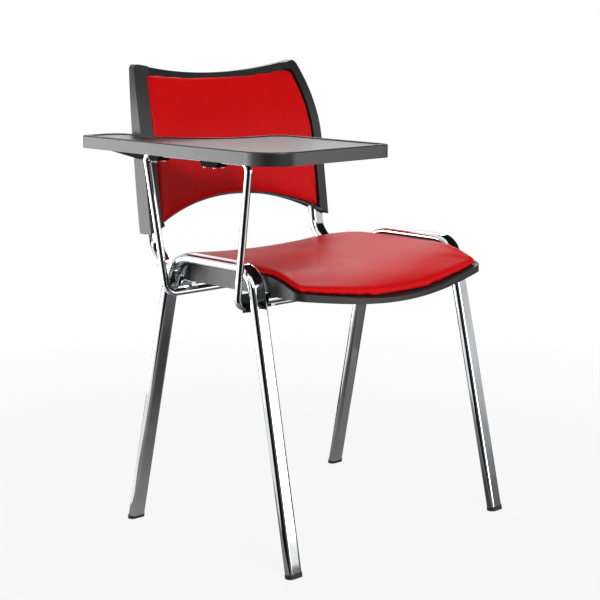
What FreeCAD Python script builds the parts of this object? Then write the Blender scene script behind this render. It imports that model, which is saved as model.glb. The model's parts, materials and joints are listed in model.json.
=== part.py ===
import FreeCAD, Part
import math
import os
import re
import Sketcher
from FreeCAD import Placement, Rotation, Vector

# Student chair with a folding writing tablet. Millimetres, +Z up, front towards -Y.
# The sitter's right hand, where the tablet is, lies towards -X; the floor is z = 0.

SIZES = {
    # Chromed flat-oval tube shared by the side frames and the back uprights
    "tube_width": 30,
    "tube_depth": 15,
    "tube_corner": 7.2,
    "tube_wall": 1.5,
    "weld_gap": 0.05,
    # Side frames: one inverted U on each side
    "foot_half_width": 246.7,
    "foot_half_depth": 203.9,
    "front_rake": 12.08,
    "rear_rake": 12.57,
    "splay": 1.29,
    "rail_height": 479.5,
    "front_bend": 40,
    "rear_bend": 60,
    "foot_lift": 6.5,
    # Foot plugs
    "plug_proud": 0.8,
    "plug_stem": 22,
    "plug_clearance": 0.1,
    # Cross tubes under the seat
    "cross_radius": 9,
    "cross_wall": 1.5,
    "cross_drop": 48,
    # Back uprights
    "upright_inset": 23.5,
    "upright_bend": 50,
    "post_setback": 15.75,
    "upright_overrun": 6.5,
    "post_reach": 160,
    "back_lean": 7.4,
    # Seat surface: dished across, falling away at the front
    "seat_side_gap": 2.9,
    "seat_front": 208,
    "seat_front_bow": 23,
    "seat_rear": 165,
    "seat_front_corner": 16,
    "seat_least_corner": 2,
    "seat_rear_corner": 85,
    "seat_below_rail": 11.5,
    "seat_dish": 20,
    "seat_side_drop": 21,
    "seat_centre_drop": 24,
    "seat_side_start": 105,
    "seat_centre_start": 72,
    "seat_side_fall": 95,
    "seat_rear_start": 40,
    "seat_rear_drop": 4,
    "seat_centre_fall": 132,
    # Seat shell
    "shell_wall": 3,
    "shell_floor": 3.5,
    "skirt_depth": 32,
    "shell_lip": 8.5,
    "notch_clearance": 1,
    # Seat board, pad and fixings
    "layer_gap": 0.3,
    "seat_board_thickness": 6,
    "seat_board_inset": 36,
    "seat_pad_inset": 5,
    "seat_pad_edge": 12,
    "seat_pad_crown": 8,
    "seat_pad_round": 7,
    "seat_screw_offset": 30,
    "seat_boss_radius": 9,
    "screw_radius": 3,
    "screw_head_radius": 5.5,
    "screw_head_height": 3,
    "screw_clearance": 0.25,
    "tee_nut_radius": 4.2,
    "tee_nut_flange": 9,
    "tee_nut_flange_height": 1.2,
    "tee_nut_lift": 0.6,
    # Backrest surface: hollow across, rolling back at the top
    "sleeve_side": 18.5,
    "back_lift": 20.5,
    "back_height": 290,
    "back_gap": 25.2,
    "back_hollow": 27,
    "back_roll_lift": 130,
    "back_roll_radius": 446,
    "back_taper_lift": 150,
    "back_taper_radius": 423,
    "back_top_dip": 21,
    "back_arch": 51.5,
    "back_corner": 12,
    # Back shell
    "sleeve_depth_bottom": 31,
    "sleeve_depth_top": 12,
    "back_centre_depth": 11,
    "back_wall": 3,
    "back_frame_width": 40,
    "back_frame_height": 22,
    "back_ridge_slope": 0.19,
    "back_ridge_inner": 28,
    "back_ridge_flank": 8,
    "sleeve_clearance": 0.3,
    # Back board, pad and fixings
    "back_board_thickness": 6,
    "back_board_gap": 0.4,
    "back_pad_inset": 24,
    "back_pad_top_inset": 17,
    "back_pad_top_dip": 12,
    "back_pad_bottom_inset": 3,
    "back_pad_edge": 9,
    "back_pad_crown": 11,
    "back_pad_round": 6,
    "back_screw_half_spacing": 120,
    "back_screw_lift": 90,
    "back_screw_drop": 65,
    "back_screw_cover": 1.5,
    "back_screw_end_gap": 0.25,
    "back_boss_radius": 5,
    "tapping_radius": 2,
    "tapping_head_radius": 3.8,
    "tapping_head_height": 2.2,
    "sleeve_screw_lift": 130,
    # Tablet arm: one bent round rod
    "rod_radius": 6,
    "rod_inset": 31,
    "rod_run_drop": 0.5,
    "rod_front_lean": 35.5,
    "rod_rear_lean": 45,
    "rod_outset": 15.3,
    "prong_front_setback": 21.5,
    "prong_rear_setback": 21.2,
    "prong_drop": 13,
    "prong_overrun": 15,
    "rod_low_bend": 18,
    "rod_high_bend": 13,
    # Arm lugs between the cross tubes and the prongs, and the spacer behind the front leg
    "lug_width": 8,
    "lug_inset": 17,
    "lug_spacing": 55,
    "grip_clearance": 0.05,
    "spacer_width": 21,
    "spacer_height": 30,
    "spacer_wall": 3.5,
    "spacer_gap": 0.2,
    # Writing tablet
    "tablet_lift": 192.5,
    "tablet_height": 21.5,
    "tablet_plate": 4,
    "tablet_wall": 3,
    "tablet_overhang": 35,
    "tablet_width": 257,
    "tablet_front": 211,
    "tablet_rear": 270,
    "tablet_shoulder": 52,
    "neck_gap": 4,
    "tablet_outer_front_corner": 55,
    "tablet_inner_front_corner": 14,
    "tablet_shoulder_corner": 35,
    "tablet_shoulder_flat": 24,
    "tablet_inner_rear_corner": 32,
    "tablet_outer_rear_corner": 9,
    "tablet_lip": 7,
    "tablet_recess": 2,
    "tablet_edge_round": 2.5,
    # Hinge clips on the arm's top run
    "hinge_clearance": 0.05,
    "hinge_wall": 5.5,
    "hinge_cap_chamfer": 6,
    "front_clip_gap": 62.5,
    "front_clip_length": 43,
    "rear_clip_length": 28,
    "rear_clip_gap": 19.5,
    "stop_end_gap": 25,
    "stop_flat": 50,
    "stop_end_drop": 5,
    "stop_drop": 14,
    "stop_gap": 8,
    "stop_lap": 1,
    "stop_round": 1,
    "clip_half_width": 11,
    "clip_foot_width": 22,
    "clip_foot_thickness": 7,
    "clip_boss_radius": 5,
    "clip_boss_height": 7,
    "clip_screw_margin": 6,
    "clip_screw_end_gap": 1,
    "cap_screw_offset": 8.6,
    "cap_screw_margin": 9.5,
    "cap_screw_radius": 1.5,
    "cap_head_radius": 2.3,
    "cap_head_height": 1.6,
}

# Sizes that follow from the ones above
DERIVED = {
    "cross_height": "rail_height - cross_drop",
    "front_cross": "foot_half_depth - cross_height * tan(front_rake)",
    "rear_cross": "foot_half_depth - cross_height * tan(rear_rake)",
    "run_height": "cross_height + cross_radius + weld_gap + tube_depth / 2",
    "seat_half_width": "foot_half_width - rail_height * tan(splay) - tube_width / 2 - seat_side_gap",
    "seat_side_height": "rail_height - seat_below_rail",
    "shell_skirt": "seat_side_height - skirt_depth",
    "upright_half_spacing": "seat_half_width - upright_inset",
    "upright_front": "front_cross + upright_overrun",
    "upright_top": "back_bottom + post_reach",
    "upright_corner": "back_front + post_setback - (back_bottom - run_height) * tan(back_lean)",
    "back_half_width": "upright_half_spacing + sleeve_side",
    "back_bottom": "rail_height + back_lift",
    "back_top": "back_bottom + back_height",
    "back_front": "seat_rear + back_gap",
    "back_roll_start": "back_bottom + back_roll_lift",
    "back_taper_start": "back_bottom + back_taper_lift",
    "back_screw_low": "back_bottom + back_screw_lift",
    "back_screw_high": "back_top - back_screw_drop",
    "sleeve_screw_height": "back_bottom + sleeve_screw_lift",
    "tablet_top_height": "rail_height + tablet_lift",
    "tablet_low": "tablet_top_height - tablet_height",
    "tablet_under": "tablet_top_height - tablet_plate",
    "tablet_outer": "rod_foot_x + tablet_overhang",
    "tablet_inner": "tablet_outer - tablet_width",
    "tablet_neck": "back_half_width + neck_gap",
    "tablet_neck_curve": "tablet_neck - tablet_inner - tablet_shoulder_corner - tablet_shoulder_flat",
    "rod_foot_x": "foot_half_width + rod_outset",
    "rod_run_x": "tablet_outer - rod_inset",
    "rod_run_height": "tablet_low - rod_run_drop",
    "rod_foot_front": "front_cross - prong_front_setback",
    "rod_foot_rear": "rear_cross - prong_rear_setback",
    "rod_run_front": "rod_foot_front + rod_front_lean",
    "rod_run_rear": "rod_foot_rear + rod_rear_lean",
    "rod_prong_height": "cross_height - prong_drop",
    "rod_prong_end": "lug_inner_x - prong_overrun",
    "cross_top": "cross_height + cross_radius",
    "cross_low": "cross_height - cross_radius",
    "cross_half": "foot_half_width - cross_top * tan(splay) - tube_width / 2 / cos(splay) - weld_gap",
    "lug_outer_x": "cross_half - lug_inset",
    "lug_inner_x": "lug_outer_x - lug_spacing",
    "seat_screw_half_spacing": "lug_inner_x - seat_screw_offset",
    "front_clip_front": "rod_run_front - front_clip_gap",
    "front_clip_rear": "front_clip_front - front_clip_length",
    "rear_clip_rear": "rod_run_rear - rear_clip_gap",
    "rear_clip_front": "rear_clip_rear - rear_clip_length",
    "clip_top": "tablet_under - clip_boss_height",
    "stop_length": "tablet_rear - rear_clip_rear - stop_end_gap",
}

doc = FreeCAD.newDocument("student_chair")
sheet = doc.addObject("Spreadsheet::Sheet", "sizes")
for row, (alias, number) in enumerate(SIZES.items(), start=1):
    sheet.set("A%d" % row, alias)
    sheet.set("B%d" % row, str(number))
    sheet.setAlias("B%d" % row, alias)
doc.recompute()


# Expressions: sizes are written by their bare names, and derived ones are spelled out
def full(expression):
    def spell(match):
        word = match.group()
        if word in DERIVED:
            return "(" + full(DERIVED[word]) + ")"
        return "sizes." + word if word in SIZES else word
    return re.sub(r"[a-z][a-z0-9_]*", spell, str(expression))


def value(expression):
    return float(sheet.evalExpression(full(expression)))


def bind(item, **properties):
    for name, expression in properties.items():
        item.setExpression(name.replace("__", "."), full(expression))


def bind_base(item, x, y, z):
    item.setExpression("Placement.Base.x", full(x))
    item.setExpression("Placement.Base.y", full(y))
    item.setExpression("Placement.Base.z", full(z))


# Sketches: straight runs joined by tangent arcs, held by corner points and radii
def draw(sketch, corners, radii, closed=True):
    points = [Vector(value(x), value(y), 0) for x, y in corners]
    count = len(points)
    inner = range(count) if closed else range(1, count - 1)
    arrive = list(points)
    leave = list(points)
    arcs = {}
    for step, index in enumerate(inner):
        before = (points[index - 1] - points[index]).normalize()
        after = (points[(index + 1) % count] - points[index]).normalize()
        half = before.getAngle(after) / 2
        radius = value(radii[step])
        arrive[index] = points[index] + before * (radius / math.tan(half))
        leave[index] = points[index] + after * (radius / math.tan(half))
        centre = points[index] + (before + after).normalize() * (radius / math.sin(half))
        left = before.cross(after).z < 0
        first = (arrive[index] if left else leave[index]) - centre
        last = (leave[index] if left else arrive[index]) - centre
        low = math.atan2(first.y, first.x)
        high = math.atan2(last.y, last.x)
        high += 2 * math.pi if high < low else 0
        circle = Part.Circle(centre, Vector(0, 0, 1), radius)
        arcs[index] = (Part.ArcOfCircle(circle, low, high), left)
    lines = {}
    for index in range(count if closed else count - 1):
        segment = Part.LineSegment(leave[index], arrive[(index + 1) % count])
        lines[index] = sketch.addGeometry(segment)

    def hold(geometry, position, corner):
        for kind, expression, number in (
            ("DistanceX", corners[corner][0], points[corner].x),
            ("DistanceY", corners[corner][1], points[corner].y),
        ):
            place = sketch.addConstraint(
                Sketcher.Constraint(kind, -1, 1, geometry, position, number)
            )
            sketch.setExpression("Constraints[%d]" % place, full(expression))

    if not closed:
        hold(lines[0], 1, 0)
        hold(lines[count - 2], 2, count - 1)
    for step, index in enumerate(inner):
        arc, left = arcs[index]
        bend = sketch.addGeometry(arc)
        corner = sketch.addGeometry(Part.Point(points[index]), True)
        come = lines[(index - 1) % count]
        go = lines[index]
        sketch.addConstraint(Sketcher.Constraint("Tangent", come, 2, bend, 1 if left else 2))
        sketch.addConstraint(Sketcher.Constraint("Tangent", bend, 2 if left else 1, go, 1))
        hold(corner, 1, index)
        sketch.addConstraint(Sketcher.Constraint("PointOnObject", corner, 1, come))
        sketch.addConstraint(Sketcher.Constraint("PointOnObject", corner, 1, go))
        place = sketch.addConstraint(Sketcher.Constraint("Radius", bend, value(radii[step])))
        sketch.setExpression("Constraints[%d]" % place, full(radii[step]))


def rectangle(width, depth):
    return [
        ("-(%s) / 2" % width, "-(%s) / 2" % depth),
        ("(%s) / 2" % width, "-(%s) / 2" % depth),
        ("(%s) / 2" % width, "(%s) / 2" % depth),
        ("-(%s) / 2" % width, "(%s) / 2" % depth),
    ]


# Bodies and their sketches
def new_body(label):
    body = doc.addObject("PartDesign::Body", label)
    body.Label = label
    return body


def add_sketch(body, name, role):
    sketch = body.newObject("Sketcher::SketchObject", body.Label + "_" + name)
    plane = next(item for item in body.Origin.OriginFeatures if item.Role == role)
    sketch.AttachmentSupport = [(plane, "")]
    sketch.MapMode = "FlatFace"
    return sketch


def tube_section(sketch):
    draw(sketch, rectangle("tube_width", "tube_depth"), ["tube_corner"] * 4)
    inner_width = "tube_width - 2 * tube_wall"
    inner_depth = "tube_depth - 2 * tube_wall"
    draw(sketch, rectangle(inner_width, inner_depth), ["tube_corner - tube_wall"] * 4)


def sweep(body, section, path):
    doc.recompute()
    pipe = body.newObject("PartDesign::AdditivePipe", body.Label + "_sweep")
    pipe.Profile = section
    pipe.Spine = (path, ["Edge%d" % (index + 1) for index in range(len(path.Shape.Edges))])
    doc.recompute()


def pad(body, sketch, length, reverse=False):
    feature = body.newObject("PartDesign::Pad", sketch.Label + "_pad")
    feature.Profile = sketch
    bind(feature, Length=length)
    feature.Reversed = reverse
    doc.recompute()
    return feature


def pocket(body, sketch, length, reverse=False):
    feature = body.newObject("PartDesign::Pocket", sketch.Label + "_pocket")
    feature.Profile = sketch
    bind(feature, Length=length)
    feature.Reversed = reverse
    doc.recompute()
    return feature


# Primitives and booleans
AXES = {
    "x": Rotation(Vector(0, 1, 0), 90),
    "y": Rotation(Vector(1, 0, 0), -90),
    "z": Rotation(),
}


def cylinder(name, radius, height, base, axis="z"):
    item = doc.addObject("Part::Cylinder", name)
    item.Placement.Rotation = AXES[axis]
    bind(item, Radius=radius, Height=height)
    bind_base(item, *base)
    return item


def box(name, low, lengths):
    item = doc.addObject("Part::Box", name)
    bind(item, Length=lengths[0], Width=lengths[1], Height=lengths[2])
    bind_base(item, *low)
    return item


def solid(name, shape):
    item = doc.addObject("Part::Feature", name)
    item.Shape = shape
    return item


def fuse(name, items):
    item = doc.addObject("Part::MultiFuse", name)
    item.Shapes = items
    item.Label = name
    return item


def cut(name, base, tools):
    item = doc.addObject("Part::Cut", name)
    item.Base = base
    item.Tool = tools[0] if len(tools) == 1 else fuse(name + "_tools", tools)
    item.Label = name
    return item


def common(name, first, second):
    item = doc.addObject("Part::Common", name)
    item.Base = first
    item.Tool = second
    item.Label = name
    return item


def group(name, items):
    item = doc.addObject("Part::Compound", name)
    item.Links = items
    item.Label = name
    return item


# A pad's rim: the edges round whichever of its two broad faces lies further along a direction
def rounded(name, item, direction, radius):
    doc.recompute()
    broad = sorted(item.Shape.Faces, key=lambda face: face.Area)[-2:]
    crown = max(broad, key=lambda face: face.CenterOfMass.dot(direction))
    feature = doc.addObject("Part::Fillet", name)
    feature.Base = item
    feature.Edges = [
        (place, value(radius), value(radius))
        for place, edge in enumerate(item.Shape.Edges, start=1)
        if any(edge.isSame(other) for other in crown.OuterWire.Edges)
    ]
    feature.Label = name
    return feature


nodes = []


def keep(item):
    nodes.append(item)
    return item


# Side frames: foot, raked leg, bend, rail, bend, raked leg, foot
FRONT_LEG_Y = "(-foot_half_depth + {0} * tan(front_rake))"
REAR_LEG_Y = "(foot_half_depth - {0} * tan(rear_rake))"
SIDES = {"right": -1, "left": 1}
TOUCH = 0.01


def side_frame(side, sign):
    body = new_body("side_frame_" + side)
    path = add_sketch(body, "path", "YZ_Plane")
    corners = [
        ("-foot_half_depth + foot_lift * sin(front_rake)", "foot_lift * cos(front_rake)"),
        (FRONT_LEG_Y.format("rail_height"), "rail_height"),
        (REAR_LEG_Y.format("rail_height"), "rail_height"),
        ("foot_half_depth - foot_lift * sin(rear_rake)", "foot_lift * cos(rear_rake)"),
    ]
    draw(path, corners, ["front_bend", "rear_bend"], closed=False)
    section = add_sketch(body, "section", "XY_Plane")
    section.AttachmentOffset = Placement(Vector(), Rotation(Vector(-1, 0, 0), 1))
    bind(
        section,
        AttachmentOffset__Rotation__Angle="front_rake",
        AttachmentOffset__Base__y=corners[0][0],
        AttachmentOffset__Base__z=corners[0][1],
    )
    tube_section(section)
    sweep(body, section, path)
    body.Placement = Placement(Vector(), Rotation(Vector(0, -sign, 0), 1))
    bind(body, Placement__Rotation__Angle="splay", Placement__Base__x="%d * foot_half_width" % sign)
    return keep(body)


# Foot plugs: a cap and a stem in the tube's own frame, cut level with the floor
def foot_plug(side, sign, end, lean, floor):
    name = "foot_plug_%s_%s" % (end, side)
    body = new_body(name + "_body")
    cap = add_sketch(body, "cap", "XY_Plane")
    cap_width = "tube_width + 2 * plug_proud"
    cap_depth = "tube_depth + 2 * plug_proud"
    draw(cap, rectangle(cap_width, cap_depth), ["tube_corner + plug_proud"] * 4)
    cap.AttachmentOffset = Placement(Vector(0, 0, -1), Rotation())
    bind(cap, AttachmentOffset__Base__z="-foot_lift")
    pad(body, cap, "2 * foot_lift - weld_gap")
    stem = add_sketch(body, "stem", "XY_Plane")
    stem_width = "tube_width - 2 * tube_wall - 2 * plug_clearance"
    stem_depth = "tube_depth - 2 * tube_wall - 2 * plug_clearance"
    draw(stem, rectangle(stem_width, stem_depth), ["tube_corner - tube_wall - plug_clearance"] * 4)
    pad(body, stem, "foot_lift + plug_stem")
    tilt = Rotation(Vector(0, -sign, 0), value("splay"))
    rake = Rotation(Vector(1, 0, 0), lean * value(end + "_rake"))
    base = Vector(sign * value("foot_half_width"), lean * value("foot_half_depth"), 0)
    body.Placement = Placement(base, tilt.multiply(rake))
    return keep(cut(name, body, [floor]))


# Cross tubes: round tubes between the legs, drilled for the seat screws
CROSS = {"front": "-front_cross", "rear": "rear_cross"}


def screw_places():
    for end, y in CROSS.items():
        for side, sign in SIDES.items():
            yield end + "_" + side, "%d * seat_screw_half_spacing" % sign, y


def cross_tube(end):
    y = CROSS[end]
    name = end + "_cross_tube"
    base = ("-cross_half", y, "cross_height")
    length = "2 * cross_half"
    outer = cylinder(name + "_outer", "cross_radius", length, base, "x")
    bore = cylinder(name + "_bore", "cross_radius - cross_wall", length, base, "x")
    holes = [
        cylinder(
            name + "_hole_" + where,
            "screw_radius + screw_clearance",
            "2 * cross_radius",
            (x, y, "cross_low"),
        )
        for where, x, y in screw_places()
        if where.startswith(end)
    ]
    return keep(cut(name, outer, [bore] + holes))


# Back uprights: a run over the cross tubes, a bend and a leaning post inside the back shell
def post_place(height):
    return "(upright_corner + (%s - run_height) * tan(back_lean))" % height


def back_upright(side, sign):
    body = new_body("back_upright_%s_tube" % side)
    path = add_sketch(body, "path", "YZ_Plane")
    corners = [
        ("-upright_front", "run_height"),
        ("upright_corner", "run_height"),
        (post_place("upright_top"), "upright_top"),
    ]
    draw(path, corners, ["upright_bend"], closed=False)
    section = add_sketch(body, "section", "XZ_Plane")
    section.AttachmentOffset = Placement(Vector(0, 0, 1), Rotation())
    bind(section, AttachmentOffset__Base__y="run_height", AttachmentOffset__Base__z="upright_front")
    tube_section(section)
    sweep(body, section, path)
    x = "%d * upright_half_spacing" % sign
    bind(body, Placement__Base__x=x)
    pilot = cylinder(
        "upright_pilot_" + side,
        "tapping_radius + hinge_clearance",
        "tube_depth",
        (x, post_place("sleeve_screw_height"), "sleeve_screw_height"),
        "y",
    )
    return keep(cut("back_upright_" + side, body, [pilot]))


# Seat surface
def smooth(fraction):
    held = min(max(fraction, 0), 1)
    return held * held * (3 - 2 * held)


def seat_surface(x, y):
    fall = smooth((-value("seat_side_start") - y) / value("seat_side_fall"))
    side = value("seat_side_height") - value("seat_side_drop") * fall
    back = (y - value("seat_rear_start")) / (value("seat_rear") - value("seat_rear_start"))
    side -= value("seat_rear_drop") * max(back, 0) ** 2
    dip = max((-value("seat_centre_start") - y) / value("seat_centre_fall"), 0) ** 2
    centre = value("seat_side_height") - value("seat_dish") - value("seat_centre_drop") * dip
    return centre + (side - centre) * (x / value("seat_half_width")) ** 2


def arc(first, middle, last):
    return Part.Arc(first, middle, last).toShape()


def line(first, last):
    return Part.LineSegment(first, last).toShape()


# Lofts: number of stations and how far past the outline they reach
SEAT_STATIONS = 13
SEAT_MARGIN = 10


def seat_layer(name, top, bottom):
    half = value("seat_half_width") + SEAT_MARGIN
    front = -value("seat_front") - SEAT_MARGIN
    rear = value("seat_rear") + SEAT_MARGIN
    wires = []
    for step in range(SEAT_STATIONS):
        y = front + (rear - front) * step / (SEAT_STATIONS - 1)
        upper = [Vector(x, y, top(x, y)) for x in (-half, 0, half)]
        lower = [Vector(x, y, bottom(x, y)) for x in (half, 0, -half)]
        edges = [arc(*upper), line(upper[2], lower[0]), arc(*lower), line(lower[2], upper[0])]
        wires.append(Part.Wire(edges))
    return solid(name, Part.makeLoft(wires, True, False))


def upright_edges(prism, y):
    level = [edge for edge in prism.Edges if abs(edge.CenterOfMass.y - y) < TOUCH]
    return [edge for edge in level if edge.BoundBox.XLength < TOUCH]


# Plan of the seat, drawn in by an inset: bowed front, straight sides, rounded corners
def seat_plan(name, inset):
    half = value("seat_half_width") - inset
    front = -value("seat_front") + inset
    bow = value("seat_front_bow")
    rear = value("seat_rear") - inset
    bottom = value("seat_side_height") - 2 * value("seat_dish") - 2 * value("seat_side_drop")
    height = 2 * (value("seat_side_height") - bottom)
    corners = [
        Vector(-half, front + bow, bottom),
        Vector(half, front + bow, bottom),
        Vector(half, rear, bottom),
        Vector(-half, rear, bottom),
    ]
    edges = [
        arc(corners[0], Vector(0, front, bottom), corners[1]),
        line(corners[1], corners[2]),
        line(corners[2], corners[3]),
        line(corners[3], corners[0]),
    ]
    prism = Part.Face(Part.Wire(edges)).extrude(Vector(0, 0, height))
    for y, corner in ((front + bow, "seat_front_corner"), (rear, "seat_rear_corner")):
        radius = max(value(corner) - inset, value("seat_least_corner"))
        prism = prism.makeFillet(radius, upright_edges(prism, y))
    return solid(name, prism)


def raised(offset):
    return lambda x, y: seat_surface(x, y) + offset


def shell_bottom(x, y):
    across = (x / value("seat_half_width")) ** 2
    fall = min(max((-value("seat_centre_start") - y) / value("seat_centre_fall"), 0), 1) ** 2
    sag = value("shell_lip") * (2 - fall)
    middle = seat_surface(0, y) - sag
    return middle + (value("shell_skirt") - middle) * across


def pad_top(x, y):
    across = 1 - (x / value("seat_half_width")) ** 2
    middle = (value("seat_rear") - value("seat_front")) / 2
    reach = (value("seat_rear") + value("seat_front")) / 2
    along = 1 - ((y - middle) / reach) ** 8
    thickness = value("seat_pad_edge") + value("seat_pad_crown") * across * max(along, 0)
    return seat_surface(x, y) + value("layer_gap") + thickness


def seat_shell():
    plan = seat_plan("seat_plan", 0)
    outer = common("seat_shell_outer", plan, seat_layer("seat_shell_layer", raised(0), shell_bottom))
    room = seat_plan("seat_room_plan", value("shell_wall"))
    deep = seat_layer(
        "seat_room_layer",
        raised(-value("shell_floor")),
        lambda x, y: seat_surface(x, y) - 3 * value("seat_dish"),
    )
    hollow = common("seat_room", room, deep)
    notches = []
    for end, y in CROSS.items():
        notches.append(
            box(
                "seat_notch_" + end,
                ("-seat_half_width - shell_wall", y + " - cross_radius - notch_clearance", "cross_low"),
                (
                    "2 * seat_half_width + 2 * shell_wall",
                    "2 * cross_radius + 2 * notch_clearance",
                    "2 * cross_radius + notch_clearance",
                ),
            )
        )
    for side, sign in SIDES.items():
        notches.append(
            box(
                "seat_notch_" + side,
                (
                    "%d * upright_half_spacing - tube_width / 2 - 2 * notch_clearance" % sign,
                    "seat_rear - seat_rear_corner",
                    "shell_skirt - tube_depth",
                ),
                (
                    "tube_width + 4 * notch_clearance",
                    "2 * seat_rear_corner",
                    "run_height + tube_depth - shell_skirt + tube_depth / 2 + notch_clearance",
                ),
            )
        )
    tray = cut("seat_tray", outer, [hollow] + notches)
    bosses = []
    holes = []
    for where, x, y in screw_places():
        start = (x, y, "cross_top")
        clearance = "screw_radius + screw_clearance"
        bosses.append(cylinder("seat_boss_" + where, "seat_boss_radius", "2 * seat_dish", start))
        holes.append(cylinder("seat_hole_" + where, clearance, "2 * seat_dish", start))
    under = seat_layer(
        "seat_boss_layer",
        raised(-value("shell_floor") / 2),
        lambda x, y: seat_surface(x, y) - 3 * value("seat_dish"),
    )
    columns = common("seat_bosses", fuse("seat_boss_columns", bosses), under)
    return keep(cut("seat_shell", fuse("seat_shell_whole", [tray, columns]), holes))


# Seat board, tee nuts, screws and pad
def board_height(x, y):
    return seat_surface(value(x), value(y)) + value("layer_gap")


def seat_board():
    plan = seat_plan("seat_board_plan", value("seat_board_inset"))
    gap = value("layer_gap")
    layer = seat_layer("seat_board_layer", raised(gap + value("seat_board_thickness")), raised(gap))
    blank = common("seat_board_blank", plan, layer)
    holes = []
    for where, x, y in screw_places():
        low = board_height(x, y)
        holes.append(
            cylinder(
                "board_hole_" + where,
                "tee_nut_radius + screw_clearance",
                "4 * seat_board_thickness",
                (x, y, low - value("seat_board_thickness")),
            )
        )
        holes.append(
            cylinder(
                "board_sink_" + where,
                "tee_nut_flange + screw_clearance",
                "4 * seat_board_thickness",
                (x, y, low + value("seat_board_thickness") / 2),
            )
        )
    return keep(cut("seat_board", blank, holes))


def seat_fixings():
    nuts = []
    screws = []
    for where, x, y in screw_places():
        low = board_height(x, y)
        seat = low + value("seat_board_thickness") / 2 + value("weld_gap")
        start = low + value("tee_nut_lift")
        barrel = cylinder("nut_barrel_" + where, "tee_nut_radius", seat - start, (x, y, start))
        flange = cylinder("nut_flange_" + where, "tee_nut_flange", "tee_nut_flange_height", (x, y, seat))
        inner = "screw_radius + hinge_clearance"
        bore = cylinder("nut_bore_" + where, inner, "2 * seat_board_thickness", (x, y, low))
        nuts.append(cut("nut_" + where, fuse("nut_blank_" + where, [barrel, flange]), [bore]))
        top = seat + value("tee_nut_flange_height")
        start = (x, y, "cross_low - screw_head_height - weld_gap")
        length = top - value(start[2])
        head = cylinder("screw_head_" + where, "screw_head_radius", "screw_head_height", start)
        shank = cylinder("screw_shank_" + where, "screw_radius", length, start)
        screws.append(fuse("screw_" + where, [head, shank]))
    keep(group("seat_tee_nuts", nuts))
    keep(group("seat_screws", screws))


def seat_pad():
    plan = seat_plan("seat_pad_plan", value("seat_pad_inset"))
    gap = value("layer_gap")
    layer = seat_layer("seat_pad_layer", pad_top, raised(gap))
    slab = common("seat_pad_blank", plan, layer)
    blank = rounded("seat_pad_rim", slab, Vector(0, 0, 1), "seat_pad_round")
    room = seat_plan("seat_pad_room_plan", value("seat_board_inset") - gap)
    deep = seat_layer(
        "seat_pad_room_layer",
        raised(2 * gap + value("seat_board_thickness")),
        raised(-value("seat_board_thickness")),
    )
    return keep(cut("seat_pad", blank, [common("seat_pad_room", room, deep)]))


# Backrest surface
def back_face(x, z):
    rise = z - value("back_bottom")
    roll = max(z - value("back_roll_start"), 0)
    lean = rise * math.tan(math.radians(value("back_lean")))
    hollow = value("back_hollow") * (1 - (x / value("back_half_width")) ** 2)
    return value("back_front") + lean + roll ** 2 / (2 * value("back_roll_radius")) + hollow


def back_rear(x, z):
    share = (z - value("back_bottom")) / (value("back_top") - value("back_bottom"))
    slimming = value("sleeve_depth_bottom") - value("sleeve_depth_top")
    side = value("sleeve_depth_bottom") - slimming * share * abs(share)
    middle = value("back_centre_depth")
    return back_face(x, z) + middle + (side - middle) * (x / value("back_half_width")) ** 2


BACK_STATIONS = 12
BACK_MARGIN = 12


def back_layer(name, front, rear):
    half = value("back_half_width") + BACK_MARGIN
    low = value("back_bottom") - BACK_MARGIN
    high = value("back_top") + BACK_MARGIN
    wires = []
    for step in range(BACK_STATIONS):
        z = low + (high - low) * step / (BACK_STATIONS - 1)
        ahead = [Vector(x, front(x, z), z) for x in (-half, 0, half)]
        behind = [Vector(x, rear(x, z), z) for x in (half, 0, -half)]
        edges = [arc(*ahead), line(ahead[2], behind[0]), arc(*behind), line(behind[2], ahead[0])]
        wires.append(Part.Wire(edges))
    return solid(name, Part.makeLoft(wires, True, False))


def back_half(z):
    taper = max(z - value("back_taper_start"), 0) ** 2 / (2 * value("back_taper_radius"))
    return value("back_half_width") - taper


# Side ridges: the shell's side borders lean forward to meet the pad's face
def back_ridge(side, sign):
    low = value("back_bottom") - BACK_MARGIN
    high = value("back_top") + BACK_MARGIN
    sunk = value("back_wall")
    wires = []
    for step in range(BACK_STATIONS):
        z = low + (high - low) * step / (BACK_STATIONS - 1)
        half = back_half(z)
        crest = half - value("back_ridge_inner")
        flank = crest - value("back_ridge_flank")
        front = back_face(half, z)
        corners = [
            (half + BACK_MARGIN, front + value("back_ridge_slope") * BACK_MARGIN),
            (crest, front - value("back_ridge_slope") * value("back_ridge_inner")),
            (flank, back_face(flank, z)),
            (flank, back_face(flank, z) + sunk),
            (half + BACK_MARGIN, front + value("back_ridge_slope") * BACK_MARGIN + sunk),
        ]
        points = [Vector(sign * x, y, z) for x, y in corners]
        wires.append(Part.makePolygon(points + points[:1]))
    return solid("back_ridge_" + side, Part.makeLoft(wires, True, False))


def back_moved(offset):
    return lambda x, z: back_face(x, z) + offset


def back_pad_front(x, z):
    across = 1 - (x / (value("back_half_width") - value("back_pad_inset"))) ** 2
    middle = (value("back_top") + value("back_bottom")) / 2
    reach = (value("back_top") - value("back_bottom")) / 2
    along = 1 - ((z - middle) / reach) ** 2
    thickness = value("back_pad_edge") + value("back_pad_crown") * max(across, 0) * max(along, 0)
    return back_face(x, z) - value("layer_gap") - thickness


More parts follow.
